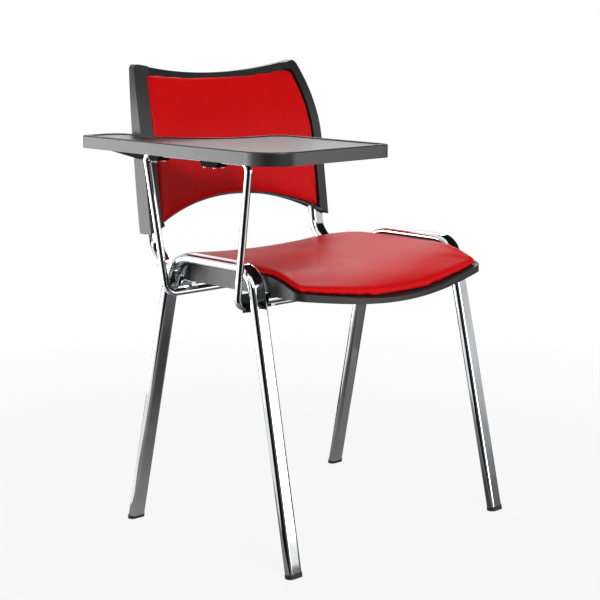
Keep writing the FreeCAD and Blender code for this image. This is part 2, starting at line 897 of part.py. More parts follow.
# Front outline of the backrest, drawn in by insets: arched foot, tapered sides, dipped top
def back_outline(name, side_inset, top_inset, bottom_inset, dip="back_top_dip"):
    half = value("back_half_width") - side_inset
    bend = value("back_taper_start")
    high = value("back_top") - top_inset
    arch = value("back_arch")
    foot = value("back_bottom") + bottom_inset
    low = foot + arch * (1 - (half / value("back_half_width")) ** 2)
    y = value("back_front") - 2 * value("back_hollow")
    right = [Vector(back_half(z) - side_inset, y, z) for z in (low, bend, (bend + high) / 2, high)]
    left = [Vector(-point.x, y, point.z) for point in right]
    edges = [
        arc(left[0], Vector(0, y, foot + arch), right[0]),
        line(right[0], right[1]),
        arc(right[1], right[2], right[3]),
        arc(right[3], Vector(0, y, high - value(dip)), left[3]),
        arc(left[3], left[2], left[1]),
        line(left[1], left[0]),
    ]
    depth = 6 * value("back_hollow") + value("sleeve_depth_bottom")
    prism = Part.Face(Part.Wire(edges)).extrude(Vector(0, depth, 0))
    top = [edge for edge in prism.Edges if abs(edge.CenterOfMass.z - high) < TOUCH]
    corners = [edge for edge in top if edge.BoundBox.XLength < TOUCH]
    return solid(name, prism.makeFillet(value("back_corner"), corners))


def back_screw_places():
    for level in ("low", "high"):
        z = value("back_screw_" + level)
        for side, sign in SIDES.items():
            yield level + "_" + side, sign * value("back_screw_half_spacing"), z


def tapping_screw(name, x, z, seat, tip):
    head = cylinder(name + "_head", "tapping_head_radius", "tapping_head_height", (x, seat, z), "y")
    length = seat - tip + value("tapping_head_height")
    shank = cylinder(name + "_shank", "tapping_radius", length, (x, tip, z), "y")
    return fuse(name, [head, shank])


def back_shell():
    shell = back_layer("back_shell_layer", back_moved(0), back_rear)
    ridges = [back_ridge(side, sign) for side, sign in SIDES.items()]
    whole = fuse("back_shell_ridged", [shell] + ridges)
    outer = common("back_shell_outer", back_outline("back_plan", 0, 0, 0), whole)
    frame = value("back_frame_width")
    height = value("back_frame_height")
    plan = back_outline("back_room_plan", frame, height, height / 2)
    deep = back_layer(
        "back_room_layer", back_moved(-height), lambda x, z: back_rear(x, z) - value("back_wall")
    )
    gap = value("layer_gap")
    bed = back_outline(
        "back_bed_plan",
        value("back_pad_inset") - gap,
        value("back_pad_top_inset") - gap,
        value("back_pad_bottom_inset") - gap,
        "back_pad_top_dip",
    )
    above = back_layer("back_bed_layer", back_moved(-4 * height), back_moved(0))
    cuts = [common("back_room", plan, deep), common("back_bed", bed, above)]
    for side, sign in SIDES.items():
        sleeve = doc.addObject("Part::Box", "back_sleeve_" + side)
        width = "tube_width + 2 * sleeve_clearance"
        depth = "tube_depth + 2 * sleeve_clearance"
        bind(sleeve, Length=width, Width=depth, Height="upright_top - back_bottom + 2 * tube_depth")
        lean = Rotation(Vector(-1, 0, 0), value("back_lean"))
        start = value("back_bottom") - value("tube_depth")
        axis = Vector(sign * value("upright_half_spacing"), value(post_place(start)), start)
        corner = Vector(value(width) / 2, value(depth) / 2, 0)
        sleeve.Placement = Placement(axis - lean.multVec(corner), lean)
        cuts.append(sleeve)
    tray = cut("back_tray", outer, cuts)
    gap = value("back_board_thickness") + value("back_board_gap")
    bosses = []
    holes = []
    screws = []
    for where, x, z in back_screw_places():
        front = back_face(x, z)
        seat = back_rear(x, z) - value("back_wall") / 2
        bosses.append(cylinder("back_boss_" + where, "back_boss_radius", 4 * gap, (x, front, z), "y"))
        clearance = "tapping_radius + screw_clearance"
        holes.append(cylinder("back_hole_" + where, clearance, 6 * gap, (x, front - gap, z), "y"))
        sink = "tapping_head_radius + screw_clearance"
        holes.append(cylinder("back_sink_" + where, sink, 4 * gap, (x, seat, z), "y"))
        tip = front + value("back_screw_cover") + value("back_screw_end_gap")
        screws.append(tapping_screw("back_board_screw_" + where, x, z, seat + value("weld_gap"), tip))
    under = back_layer(
        "back_boss_layer", back_moved(gap), lambda x, z: back_rear(x, z) - value("back_wall") / 2
    )
    columns = common("back_bosses", fuse("back_boss_columns", bosses), under)
    sleeve_screws = []
    z = value("sleeve_screw_height")
    for side, sign in SIDES.items():
        x = sign * value("upright_half_spacing")
        seat = back_rear(x, z) - value("back_wall") / 2
        middle = value(post_place(z))
        clearance = "tapping_radius + screw_clearance"
        holes.append(cylinder("sleeve_hole_" + side, clearance, 4 * gap, (x, middle, z), "y"))
        sink = "tapping_head_radius + screw_clearance"
        holes.append(cylinder("sleeve_sink_" + side, sink, 4 * gap, (x, seat, z), "y"))
        name = "back_sleeve_screw_" + side
        sleeve_screws.append(tapping_screw(name, x, z, seat + value("weld_gap"), middle))
    keep(cut("back_shell", fuse("back_shell_whole", [tray, columns]), holes))
    keep(group("back_board_screws", screws))
    keep(group("back_sleeve_screws", sleeve_screws))


def back_board():
    frame = value("back_frame_width") + value("back_board_gap")
    height = value("back_frame_height") + value("back_board_gap")
    bottom = value("back_frame_height") / 2 + value("back_board_gap")
    plan = back_outline("back_board_plan", frame, height, bottom)
    layer = back_layer("back_board_layer", back_moved(0), back_moved(value("back_board_thickness")))
    blank = common("back_board_blank", plan, layer)
    holes = [
        cylinder(
            "back_board_hole_" + where,
            "tapping_radius + hinge_clearance",
            "4 * back_board_thickness",
            (x, back_face(x, z) + value("back_screw_cover"), z),
            "y",
        )
        for where, x, z in back_screw_places()
    ]
    return keep(cut("back_board", blank, holes))


def back_pad():
    plan = back_outline(
        "back_pad_plan",
        value("back_pad_inset"),
        value("back_pad_top_inset"),
        value("back_pad_bottom_inset"),
        "back_pad_top_dip",
    )
    layer = back_layer("back_pad_layer", back_pad_front, back_moved(-value("layer_gap")))
    blank = common("back_pad_blank", plan, layer)
    return keep(rounded("back_pad", blank, Vector(0, -1, 0), "back_pad_round"))


# Tablet arm: one rod, prong, bend, post, bend, run, bend, post, bend, prong
def bent_wire(points, radii):
    edges = []
    start = points[0]
    for before, corner, after, radius in zip(points, points[1:], points[2:], radii):
        come = (before - corner).normalize()
        go = (after - corner).normalize()
        half = come.getAngle(go) / 2
        reach = radius / math.tan(half)
        arrive = corner + come * reach
        leave = corner + go * reach
        middle = corner + (come + go).normalize() * (radius / math.sin(half) - radius)
        edges.append(line(start, arrive))
        edges.append(arc(arrive, middle, leave))
        start = leave
    edges.append(line(start, points[-1]))
    return Part.Wire(edges)


def tablet_arm_rod():
    foot = -value("rod_foot_x")
    run = -value("rod_run_x")
    end = -value("rod_prong_end")
    low = value("rod_prong_height")
    high = value("rod_run_height")
    front_foot = -value("rod_foot_front")
    rear_foot = value("rod_foot_rear")
    points = [
        Vector(end, front_foot, low),
        Vector(foot, front_foot, low),
        Vector(run, -value("rod_run_front"), high),
        Vector(run, value("rod_run_rear"), high),
        Vector(foot, rear_foot, low),
        Vector(end, rear_foot, low),
    ]
    bends = ["rod_low_bend", "rod_high_bend", "rod_high_bend", "rod_low_bend"]
    path = solid("rod_path", bent_wire(points, [value(bend) for bend in bends]))
    ring = doc.addObject("Part::Circle", "rod_section")
    ring.Placement.Rotation = AXES["x"]
    bind(ring, Radius="rod_radius")
    bind_base(ring, "-rod_prong_end", "-rod_foot_front", "rod_prong_height")
    rod = doc.addObject("Part::Sweep", "tablet_arm_rod")
    rod.Sections = [ring]
    rod.Spine = (path, ["Edge%d" % (index + 1) for index in range(len(path.Shape.Edges))])
    rod.Solid = True
    rod.Label = "tablet_arm_rod"
    return keep(rod)


# Arm lugs: plates welded between a cross tube and a prong
PRONG = {"front": "-rod_foot_front", "rear": "rod_foot_rear"}
LUGS = {"outer": "-lug_outer_x", "inner": "-lug_inner_x"}


def arm_lugs():
    for end, y in CROSS.items():
        prong = PRONG[end]
        low, high = (y, prong) if end == "front" else (prong, y)
        for place, x in LUGS.items():
            name = "arm_lug_%s_%s" % (end, place)
            start = x + " - lug_width / 2"
            block = box(
                name + "_block",
                (start, low, "rod_prong_height"),
                ("lug_width", "%s - (%s)" % (high, low), "prong_drop"),
            )
            tube = "cross_radius + grip_clearance"
            grip = "rod_radius + grip_clearance"
            tools = [
                cylinder(name + "_saddle", tube, "lug_width", (start, y, "cross_height"), "x"),
                cylinder(name + "_grip", grip, "lug_width", (start, prong, "rod_prong_height"), "x"),
            ]
            keep(cut(name, block, tools))


# Arm spacer: a block on the front prong that bears on the back of the front leg
def arm_spacer():
    lean = Rotation(Vector(-1, 0, 0), value("front_rake"))
    foot = Vector(0, -value("foot_half_depth"), 0)
    prong = Vector(0, -value("rod_foot_front"), value("rod_prong_height"))
    local = lean.inverted().multVec(prong - foot)
    block = doc.addObject("Part::Box", "arm_spacer_block")
    face = value("tube_depth") / 2 + value("spacer_gap")
    depth = local.y + value("rod_radius") + value("spacer_wall") - face
    bind(block, Length="spacer_width", Height="spacer_height")
    block.Width = depth
    low = local.z - value("rod_radius") - value("spacer_wall")
    corner = foot + lean.multVec(Vector(0, face, low))
    corner.x = -value("rod_foot_x") + value("rod_low_bend") + value("layer_gap")
    block.Placement = Placement(corner, lean)
    grip = cylinder(
        "arm_spacer_grip",
        "rod_radius + grip_clearance",
        "2 * rod_foot_x",
        ("-rod_foot_x", PRONG["front"], "rod_prong_height"),
        "x",
    )
    return keep(cut("arm_spacer", block, [grip]))


# Writing tablet: skirted plate with a raised lip, bosses below for the hinge clips
def tablet_outline(sketch, inset):
    corners = [
        ("-tablet_outer + " + inset, "-tablet_front + " + inset),
        ("-tablet_inner - " + inset, "-tablet_front + " + inset),
        ("-tablet_inner - " + inset, "tablet_shoulder - " + inset),
        ("-tablet_neck - " + inset, "tablet_shoulder - " + inset),
        ("-tablet_neck - " + inset, "tablet_rear - " + inset),
        ("-tablet_outer + " + inset, "tablet_rear - " + inset),
    ]
    radii = [
        "tablet_outer_front_corner - " + inset,
        "tablet_inner_front_corner - " + inset,
        "tablet_shoulder_corner - " + inset,
        "tablet_neck_curve + " + inset,
        "tablet_inner_rear_corner - " + inset,
        "tablet_outer_rear_corner - " + inset,
    ]
    draw(sketch, corners, radii)


def level_sketch(body, name, height):
    sketch = add_sketch(body, name, "XY_Plane")
    sketch.AttachmentOffset = Placement(Vector(0, 0, 1), Rotation())
    bind(sketch, AttachmentOffset__Base__z=height)
    return sketch


CLIPS = {
    "front": ("-front_clip_front", "-front_clip_rear"),
    "rear": ("rear_clip_front", "rear_clip_rear"),
}
FOOT_X = "(-rod_run_x + clip_half_width + clip_foot_width / 2)"


def clip_screw_places(margin="clip_screw_margin"):
    for end, (low, high) in CLIPS.items():
        yield end + "_a", FOOT_X, "%s + %s" % (low, margin)
        yield end + "_b", FOOT_X, "%s - %s" % (high, margin)


def tablet_top():
    body = new_body("tablet_plate_body")
    outline = level_sketch(body, "outline", "tablet_low")
    tablet_outline(outline, "0")
    pad(body, outline, "tablet_height")
    room = level_sketch(body, "room", "tablet_low")
    tablet_outline(room, "tablet_wall")
    pocket(body, room, "tablet_height - tablet_plate", reverse=True)
    recess = level_sketch(body, "recess", "tablet_top_height")
    tablet_outline(recess, "tablet_lip")
    last = pocket(body, recess, "tablet_recess")
    top = value("tablet_top_height")
    rim = [face for face in last.Shape.Faces if abs(face.CenterOfMass.z - top) < TOUCH]
    names = [
        "Edge%d" % place
        for place, edge in enumerate(last.Shape.Edges, start=1)
        if any(edge.isSame(other) for face in rim for other in face.OuterWire.Edges)
    ]
    fillet = body.newObject("PartDesign::Fillet", "tablet_edge")
    fillet.Base = (last, names)
    bind(fillet, Radius="tablet_edge_round")
    doc.recompute()
    height = "clip_boss_height + tablet_wall / 2"
    pilot = "tapping_radius + hinge_clearance"
    bosses = []
    holes = []
    for where, x, y in clip_screw_places():
        bosses.append(cylinder("tablet_boss_" + where, "clip_boss_radius", height, (x, y, "clip_top")))
        holes.append(cylinder("tablet_hole_" + where, pilot, height, (x, y, "clip_top")))
    return keep(cut("tablet_top", fuse("tablet_whole", [body] + bosses), holes))


# Stop tail: runs back beside the arm's rear post and meets it when the tablet is down
def stop_tail(start):
    body = new_body("hinge_stop_tail")
    side = add_sketch(body, "side", "YZ_Plane")
    top = "clip_top - weld_gap"
    bottom = "rod_run_height - stop_drop"
    corners = [
        (start + " - stop_lap", top),
        (start + " - stop_lap", bottom),
        (start + " + stop_flat", bottom),
        (start + " + stop_length", "tablet_low - stop_end_drop"),
        (start + " + stop_length", top),
    ]
    draw(side, corners, ["stop_round"] * len(corners))
    side.AttachmentOffset = Placement(Vector(0, 0, -1), Rotation())
    bind(side, AttachmentOffset__Base__z="-rod_run_x + stop_gap")
    pad(body, side, "clip_half_width + clip_foot_width - stop_gap")
    return body


# Chamfers on the lower end edges of a block
def chamfered(name, item, size):
    doc.recompute()
    low = item.Shape.BoundBox.ZMin
    feature = doc.addObject("Part::Chamfer", name)
    feature.Base = item
    feature.Edges = [
        (place, value(size), value(size))
        for place, edge in enumerate(item.Shape.Edges, start=1)
        if edge.CenterOfMass.z < low + TOUCH and edge.BoundBox.YLength < TOUCH
    ]
    return feature


def hinge_clips():
    axis_x = "-rod_run_x"
    axis_z = "rod_run_height"
    foot_screws = []
    cap_screws = []
    for end, (low, high) in CLIPS.items():
        name = "hinge_clip_" + end
        length = "%s - (%s)" % (high, low)
        knuckle = box(
            name + "_knuckle",
            (axis_x + " - clip_half_width", low, axis_z),
            ("2 * clip_half_width", length, "clip_top - weld_gap - " + axis_z),
        )
        foot = box(
            name + "_foot",
            (axis_x, low, "clip_top - weld_gap - clip_foot_thickness"),
            ("clip_half_width + clip_foot_width", length, "clip_foot_thickness"),
        )
        parts = [knuckle, foot]
        if end == "rear":
            parts.append(stop_tail(high))
        bore = cylinder(
            name + "_bore", "rod_radius + hinge_clearance", length, (axis_x, low, axis_z), "y"
        )
        cap_low = axis_z + " - rod_radius - hinge_wall"
        cap_name = "hinge_cap_" + end
        cap_length = length + " - stop_lap - weld_gap"
        block = box(
            cap_name + "_block",
            (axis_x + " - clip_half_width", low, cap_low),
            ("2 * clip_half_width", cap_length, "rod_radius + hinge_wall - weld_gap"),
        )
        cap = chamfered(cap_name + "_blank", block, "hinge_cap_chamfer")
        cap_bore = cylinder(
            cap_name + "_bore", "rod_radius + hinge_clearance", length, (axis_x, low, axis_z), "y"
        )
        clip_tools = [bore]
        cap_tools = [cap_bore]
        for where, x, y in clip_screw_places():
            if not where.startswith(end):
                continue
            start = (x, y, "clip_top - clip_foot_thickness - tapping_head_height - 2 * weld_gap")
            clearance = "tapping_radius + screw_clearance"
            length = "tablet_under - clip_screw_end_gap - (%s)" % start[2]
            clip_tools.append(cylinder(name + "_hole_" + where, clearance, length, start))
            head = cylinder(name + "_head_" + where, "tapping_head_radius", "tapping_head_height", start)
            shank = cylinder(name + "_shank_" + where, "tapping_radius", length, start)
            foot_screws.append(fuse(name + "_screw_" + where, [head, shank]))
        for where, x, y in clip_screw_places("cap_screw_margin"):
            if not where.startswith(end):
                continue
            for hand, sign in SIDES.items():
                sx = "%s + %d * cap_screw_offset" % (axis_x, sign)
                tag = "%s_%s" % (where, hand)
                reach = "rod_radius + 2 * hinge_wall"
                hole = "cap_screw_radius + hinge_clearance"
                start = (sx, y, cap_low + " - cap_head_height - weld_gap")
                cap_tools.append(cylinder(cap_name + "_hole_" + tag, hole, reach, start))
                clip_tools.append(cylinder(name + "_tap_" + tag, hole, reach, start))
                dome = cylinder(cap_name + "_head_" + tag, "cap_head_radius", "cap_head_height", start)
                pin = cylinder(cap_name + "_shank_" + tag, "cap_screw_radius", reach, start)
                cap_screws.append(fuse(cap_name + "_screw_" + tag, [dome, pin]))
        keep(cut(name, fuse(name + "_blank", parts), clip_tools))
        keep(cut(cap_name, cap, cap_tools))
    keep(group("hinge_clip_screws", foot_screws))
    keep(group("hinge_cap_screws", cap_screws))


floor = doc.addObject("Part::Box", "floor_cut")
bind(floor, Length="4 * foot_half_width", Width="4 * foot_half_depth", Height="4 * foot_lift")
bind_base(floor, "-2 * foot_half_width", "-2 * foot_half_depth", "-4 * foot_lift")

for side, sign in SIDES.items():
    side_frame(side, sign)
    back_upright(side, sign)
    foot_plug(side, sign, "front", -1, floor)
    foot_plug(side, sign, "rear", 1, floor)
for end in CROSS:
    cross_tube(end)
seat_shell()
seat_board()
seat_fixings()
seat_pad()
back_shell()
back_board()
back_pad()
tablet_arm_rod()
arm_lugs()
arm_spacer()
tablet_top()
hinge_clips()

doc.recompute()
for item in doc.Objects:
    if "Invalid" in item.State or "Error" in item.State:
        raise RuntimeError("failed: %s %s" % (item.Label, item.State))
for item in nodes:
    if item.Shape.isNull() or not item.Shape.isValid():
        raise RuntimeError("bad shape: " + item.Label)
os.makedirs("parts", exist_ok=True)
for item in nodes:
    item.Shape.exportStep("parts/%s.step" % item.Label)
    print(item.Label, len(item.Shape.Solids), round(item.Shape.Volume))
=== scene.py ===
import json
import math

import bmesh
import bpy
import numpy as np
from mathutils import Matrix, Vector


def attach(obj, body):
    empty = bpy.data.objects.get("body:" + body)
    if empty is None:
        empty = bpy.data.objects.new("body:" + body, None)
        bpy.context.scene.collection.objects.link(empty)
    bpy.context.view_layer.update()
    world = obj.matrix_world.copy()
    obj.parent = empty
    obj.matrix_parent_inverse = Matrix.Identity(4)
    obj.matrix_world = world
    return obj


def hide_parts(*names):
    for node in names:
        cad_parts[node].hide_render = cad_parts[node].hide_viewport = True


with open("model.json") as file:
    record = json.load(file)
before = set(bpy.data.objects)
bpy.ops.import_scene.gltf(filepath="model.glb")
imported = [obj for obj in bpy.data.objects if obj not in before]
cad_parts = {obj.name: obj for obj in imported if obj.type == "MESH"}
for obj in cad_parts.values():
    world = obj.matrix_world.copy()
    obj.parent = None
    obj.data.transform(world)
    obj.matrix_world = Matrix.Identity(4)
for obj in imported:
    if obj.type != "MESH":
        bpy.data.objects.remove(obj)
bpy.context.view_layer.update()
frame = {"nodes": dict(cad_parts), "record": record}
scene = bpy.context.scene
scene.view_settings.view_transform = "Standard"


# Materials: their patterns lie on Object coordinates, with sizes in real millimetres
MM = 0.001
# A Mix node's colour sockets, which share their names with its other sockets
MIX_A, MIX_B, MIX_RESULT = 6, 7, 2


def linear(code):
    """A colour written as sRGB hex, as the linear colour a socket takes."""
    parts = [int(code[place:place + 2], 16) / 255 for place in (1, 3, 5)]
    parts = [
        part / 12.92 if part <= 0.04045 else ((part + 0.055) / 1.055) ** 2.4 for part in parts
    ]
    return (*parts, 1.0)


def grey(level):
    """A linear grey."""
    return (level, level, level, 1.0)


def per_mm(size):
    """Texture scale at which one feature is that many millimetres across."""
    return 1000 / size


def add(tree, kind, inputs=None, **settings):
    """Adds a node with its settings; each input is a value or another node's output."""
    node = tree.nodes.new(kind)
    for name, setting in settings.items():
        setattr(node, name, setting)
    for socket, given in (inputs or {}).items():
        if isinstance(given, bpy.types.NodeSocket):
            tree.links.new(given, node.inputs[socket])
        else:
            node.inputs[socket].default_value = given
    return node


def ramp(node, stops):
    """Sets a colour ramp's stops, each a place and a linear colour."""
    elements = node.color_ramp.elements
    while len(elements) < len(stops):
        elements.new(0.5)
    for element, (place, tint) in zip(elements, stops):
        element.position = place
        element.color = tint


def empty_tree(owner):
    """The node tree of a material or a world, with nothing in it."""
    owner.use_nodes = True
    owner.node_tree.nodes.clear()
    return owner.node_tree


def new_material(name):
    """A material with its tree, its shader and the coordinates for its patterns."""
    material = bpy.data.materials.new(name)
    tree = empty_tree(material)
    shader = add(tree, "ShaderNodeBsdfPrincipled")
    add(tree, "ShaderNodeOutputMaterial", {"Surface": shader.outputs["BSDF"]})
    place = add(tree, "ShaderNodeTexCoord").outputs["Object"]
    return material, tree, shader, place


def dress(tree, shader, tint, roughness, height, strength, depth_mm):
    """Links a shader's colour and roughness, and the bump that a height makes."""
    bump = add(
        tree, "ShaderNodeBump",
        {"Height": height, "Strength": strength, "Distance": depth_mm * MM},
    )
    tree.links.new(tint, shader.inputs["Base Color"])
    tree.links.new(roughness, shader.inputs["Roughness"])
    tree.links.new(bump.outputs["Normal"], shader.inputs["Normal"])


# Chrome plate on polished steel tube: mirror bright, with faint handling haze
# and a slight waviness of the rolled wall
def chrome_plate():
    material, tree, shader, place = new_material("chrome_plated_steel_tube")
    shader.inputs["Metallic"].default_value = 1.0
    haze = add(tree, "ShaderNodeTexNoise", {"Vector": place, "Scale": per_mm(45), "Detail": 6.0})
    fine = add(tree, "ShaderNodeTexNoise", {"Vector": place, "Scale": per_mm(3), "Detail": 3.0})
    tone = add(tree, "ShaderNodeValToRGB", {"Fac": haze.outputs["Fac"]})
    ramp(tone, [(0.3, linear("#DADDE0")), (0.7, linear("#ECEDEE"))])
    gloss = add(
        tree, "ShaderNodeMapRange", {"Value": haze.outputs["Fac"], "To Min": 0.035, "To Max": 0.1}
    )
    dress(
        tree, shader, tone.outputs["Color"], gloss.outputs["Result"],
        fine.outputs["Fac"], strength=0.04, depth_mm=0.2,
    )
    return material


# Injection-moulded plastic with a fine spark-eroded grain: near black and satin,
# pale where light grazes it
def moulded_plastic(name, tints, roughness, grain_mm, specular=0.5):
    material, tree, shader, place = new_material(name)
    shader.inputs["IOR"].default_value = 1.49
    shader.inputs["Specular IOR Level"].default_value = specular
    grain = add(
        tree, "ShaderNodeTexNoise", {"Vector": place, "Scale": per_mm(grain_mm), "Detail": 2.0}
    )
    flow = add(tree, "ShaderNodeTexNoise", {"Vector": place, "Scale": per_mm(40), "Detail": 4.0})
    tone = add(tree, "ShaderNodeValToRGB", {"Fac": flow.outputs["Fac"]})
    ramp(tone, [(0.1, linear(tints[0])), (0.9, linear(tints[1]))])
    gloss = add(
        tree, "ShaderNodeMapRange",
        {
            "Value": grain.outputs["Fac"], "From Min": 0.3, "From Max": 0.7,
            "To Min": roughness[0], "To Max": roughness[1],
        },
    )
    dress(
        tree, shader, tone.outputs["Color"], gloss.outputs["Result"],
        grain.outputs["Fac"], strength=0.16, depth_mm=0.2,
    )
    return material


# Polyethylene foot plug: matt black, scuffed grey where it slides on the floor
def plug_plastic():
    material, tree, shader, place = new_material("polyethylene_foot_plug")
    shader.inputs["IOR"].default_value = 1.51
    height = add(tree, "ShaderNodeSeparateXYZ", {"Vector": place})
    scuff = add(tree, "ShaderNodeTexNoise", {"Vector": place, "Scale": per_mm(4), "Detail": 5.0})
    low = add(
        tree, "ShaderNodeMapRange",
        {"Value": height.outputs["Z"], "From Max": 5 * MM, "To Min": 1.0, "To Max": 0.0},
    )
    worn = add(
        tree, "ShaderNodeMath", {0: low.outputs["Result"], 1: scuff.outputs["Fac"]},
        operation="MULTIPLY",
    )
    tone = add(tree, "ShaderNodeValToRGB", {"Fac": worn.outputs["Value"]})
    ramp(tone, [(0.25, linear("#151516")), (0.6, linear("#3A3A3B"))])
    gloss = add(
        tree, "ShaderNodeMapRange", {"Value": worn.outputs["Value"], "To Min": 0.5, "To Max": 0.8}
    )
    dress(
        tree, shader, tone.outputs["Color"], gloss.outputs["Result"],
        scuff.outputs["Fac"], strength=0.15, depth_mm=0.3,
    )
    return material


# Red PVC leatherette: an embossed hide grain of small cells, its valleys darkened with painted
# shade, a satin finish and slight shifts of depth in the red
def leatherette():
    material, tree, shader, place = new_material("red_pvc_leatherette")
    shader.inputs["IOR"].default_value = 1.52
    shader.inputs["Specular IOR Level"].default_value = 0.07
    cells = add(
        tree, "ShaderNodeTexVoronoi", {"Vector": place, "Scale": per_mm(2.2), "Randomness": 0.9},
        feature="DISTANCE_TO_EDGE",
    )
    valleys = add(
        tree, "ShaderNodeMapRange", {"Value": cells.outputs["Distance"], "From Max": 0.22}
    )
    pores = add(tree, "ShaderNodeTexNoise", {"Vector": place, "Scale": per_mm(0.9), "Detail": 3.0})
    shift = add(tree, "ShaderNodeTexNoise", {"Vector": place, "Scale": per_mm(90), "Detail": 4.0})
    tone = add(tree, "ShaderNodeValToRGB", {"Fac": shift.outputs["Fac"]})
    ramp(tone, [(0.3, linear("#C7080C")), (0.7, linear("#D60B0F"))])
    # Painted shade: the grain's valleys, where the cells meet, are a darker red
    valley_shaded_red = add(
        tree, "ShaderNodeMix",
        {
            "Factor": valleys.outputs["Result"],
            MIX_A: linear("#AE0609"), MIX_B: tone.outputs["Color"],
        },
        data_type="RGBA",
    )
    gloss = add(
        tree, "ShaderNodeMapRange",
        {
            "Value": shift.outputs["Fac"], "From Min": 0.3, "From Max": 0.7,
            "To Min": 0.38, "To Max": 0.46,
        },
    )
    rise = add(
        tree, "ShaderNodeMath", {0: pores.outputs["Fac"], 1: 0.25, 2: valleys.outputs["Result"]},
        operation="MULTIPLY_ADD",
    )
    dress(
        tree, shader, valley_shaded_red.outputs[MIX_RESULT], gloss.outputs["Result"],
        rise.outputs["Value"], strength=0.12, depth_mm=0.3,
    )
    return material


# Beech plywood, sawn and bare: a pale grain along the chair's width
def plywood():
    material, tree, shader, place = new_material("bare_beech_plywood")
    stretch = add(tree, "ShaderNodeMapping", {"Vector": place, "Scale": (0.08, 1.0, 1.0)})
    grain = add(
        tree, "ShaderNodeTexNoise",
        {"Vector": stretch.outputs["Vector"], "Scale": per_mm(2.5), "Detail": 6.0},
    )
    tone = add(tree, "ShaderNodeValToRGB", {"Fac": grain.outputs["Fac"]})
    ramp(tone, [(0.3, linear("#A9825A")), (0.7, linear("#CDAA7E"))])
    gloss = add(
        tree, "ShaderNodeMapRange", {"Value": grain.outputs["Fac"], "To Min": 0.55, "To Max": 0.75}
    )
    dress(
        tree, shader, tone.outputs["Color"], gloss.outputs["Result"],
        grain.outputs["Fac"], strength=0.2, depth_mm=0.3,
    )
    return material


# Zinc-plated steel fixings: bright, with a slightly blotched passivation
def zinc_steel():
    material, tree, shader, place = new_material("zinc_plated_steel_fixing")
    shader.inputs["Metallic"].default_value = 1.0
    blotch = add(tree, "ShaderNodeTexNoise", {"Vector": place, "Scale": per_mm(5), "Detail": 5.0})
    tone = add(tree, "ShaderNodeValToRGB", {"Fac": blotch.outputs["Fac"]})
    ramp(tone, [(0.3, linear("#B4B6B8")), (0.7, linear("#D2D3D4"))])
    gloss = add(
        tree, "ShaderNodeMapRange", {"Value": blotch.outputs["Fac"], "To Min": 0.22, "To Max": 0.42}
    )
    dress(
        tree, shader, tone.outputs["Color"], gloss.outputs["Result"],
        blotch.outputs["Fac"], strength=0.1, depth_mm=0.2,
    )
    return material


# The finish of each material slot in the record, then the pieces whose plastic differs from it
finishes = {
    "chromed_tube": chrome_plate(),
    "foot_plastic": plug_plastic(),
    "black_plastic": moulded_plastic(
        "moulded_polypropylene", ("#161617", "#1E1E1F"), (0.36, 0.48), grain_mm=0.8
    ),
    "red_leatherette": leatherette(),
    "plywood": plywood(),
    "zinc_steel": zinc_steel(),
}
tablet_plastic = moulded_plastic(
    "moulded_tablet_plastic", ("#19191A", "#232324"), (0.3, 0.42), grain_mm=0.8
)
# The hinge clips, caps and arm spacer: a plastic darker than the shells, rougher, and with almost
# no specular
dark_hinge_plastic = moulded_plastic(
    "dark_hinge_plastic_finish", ("#0A0A0B", "#111112"), (0.5, 0.65), grain_mm=1.2, specular=0.04
)
dark_hinge_pieces = (
    "hinge_clip_front", "hinge_cap_front", "hinge_clip_rear", "hinge_cap_rear", "arm_spacer",
)
slots = {part["node"]: part["material_slot"] for part in frame["record"]["subparts"]}


def finish_piece(piece, material):
    """Gives a piece one material all over."""
    piece.data.materials.clear()
    piece.data.materials.append(material)


for name, piece in frame["nodes"].items():
    finish_piece(piece, finishes[slots[name]])
finish_piece(frame["nodes"]["tablet_top"], tablet_plastic)
for name in dark_hinge_pieces:
    finish_piece(frame["nodes"][name], dark_hinge_plastic)


# Upholstered pads: foam under leatherette, swollen by a cloth simulation from the CAD pad's form
MERGE = 1e-5  # points nearer than this, in metres, become one
VOXEL = 4 * MM  # spacing of the even mesh
PADDED = 0.1  # a normal with more than this towards the sitter is on the padded side
SHRINK = 1.2 * MM  # how far the padded side is drawn in
SMOOTHINGS = 8
SMOOTHING = 0.5  # how far one smoothing moves a point
HELD = 0.25  # points whose normals have less than this towards the sitter don't move
PRESSURE = 4.0
FRAMES = 20  # length of the simulation
SWELL = 3 * MM  # the most that the cover may rise
TINY = 1e-9  # keeps the division safe where nothing moved
SUBDIVISIONS = 1


def apply_modifiers(piece):
    """Puts the piece's modifiers into its mesh."""
    graph = bpy.context.evaluated_depsgraph_get()
    made = bpy.data.meshes.new_from_object(piece.evaluated_get(graph))
    piece.modifiers.clear()
    old = piece.data
    piece.data = made
    bpy.data.meshes.remove(old)


def points_of(mesh):
    """The mesh's points as rows of x, y and z."""
    flat = np.zeros(len(mesh.vertices) * 3, np.float32)
    mesh.vertices.foreach_get("co", flat)
    return flat.reshape(-1, 3)


